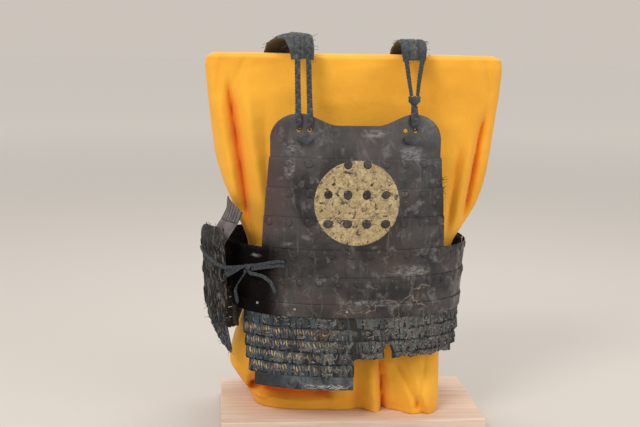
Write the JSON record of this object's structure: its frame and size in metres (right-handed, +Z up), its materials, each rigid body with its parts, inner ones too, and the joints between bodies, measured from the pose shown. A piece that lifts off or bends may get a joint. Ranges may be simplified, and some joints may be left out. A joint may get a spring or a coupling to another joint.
{
  "type": "iron cuirass on a cloth-covered stand",
  "caption": "Riveted iron plate cuirass with laced skirt panels, shoulder straps and a tied open side, hung on a cloth-covered wooden display stand.",
  "frame": {"origin": "on the underside of the wooden base, under the centre line of the cuirass and in the middle plane of the stand", "axes": "+Z up, -Y to the front of the cuirass, +X to the wearer's left"},
  "size_m": [0.5606, 0.3084, 0.7226],
  "materials": {
    "lacquered_iron": "worn dark lacquer over riveted iron, with grey rubs and fine cracks",
    "underarm_plate": "dull, bare lavender grey",
    "lacing": "faded blue-green silk lacing, worn and dusty",
    "cord": "dark grey-green flat braid",
    "worn_leather": "ragged grey-green covering over leather",
    "yellow_cotton": "plain matt orange-yellow cotton",
    "pale_wood": "satin pale wood"
  },
  "bodies": {
    "root": {"back_plate": "lacquered_iron", "back_skirt_left": "lacing", "back_skirt_right": "lacing", "back_waist_1": "lacquered_iron", "back_waist_2": "lacquered_iron", "back_waist_3": "lacquered_iron", "base_board": "pale_wood", "front_breast_1": "lacquered_iron", "front_breast_2": "lacquered_iron", "front_breast_3": "lacquered_iron", "front_chest": "lacquered_iron", "front_waist_1": "lacquered_iron", "front_waist_2": "lacquered_iron", "front_waist_3": "lacquered_iron", "front_wing_remnant": "lacing", "hinge_leaf_back": "lacquered_iron", "hinge_leaf_front": "lacquered_iron", "hinge_pin": "lacquered_iron", "left_lace_end": "cord", "left_lace_hitch": "cord", "left_lace_inner": "cord", "left_lace_knot": "cord", "left_lace_outer": "cord", "left_shoulder_strap": "worn_leather", "left_skirt_hanging_laces": "lacing", "left_skirt_laces_1": "lacing", "left_skirt_laces_2": "lacing", "left_skirt_laces_3_inner": "lacing", "left_skirt_laces_3_outer": "lacing", "left_skirt_plate_1": "lacquered_iron", "left_skirt_plate_2": "lacquered_iron", "left_skirt_plate_3_inner": "lacquered_iron", "left_skirt_plate_3_outer": "lacquered_iron", "right_lace_inner": "cord", "right_lace_knot": "cord", "right_lace_outer": "cord", "right_shoulder_strap": "worn_leather", "right_skirt_hanging_laces": "lacing", "right_skirt_laces_1": "lacing", "right_skirt_laces_2": "lacing", "right_skirt_laces_3": "lacing", "right_skirt_laces_4": "lacing", "right_skirt_plate_1": "lacquered_iron", "right_skirt_plate_2": "lacquered_iron", "right_skirt_plate_3": "lacquered_iron", "right_skirt_plate_4": "lacquered_iron", "right_skirt_plate_5": "lacquered_iron", "shoulder_bar": "pale_wood", "side_tie_end_front": "cord", "side_tie_end_hanging": "cord", "side_tie_knot": "cord", "side_tie_lower_strand": "cord", "side_tie_upper_strand": "cord", "side_tie_wing_strand": "cord", "stand_cover": "yellow_cotton", "stand_post": "pale_wood", "torn_side_panel": "lacing", "underarm_plate": "underarm_plate"}
  },
  "joints": []
}
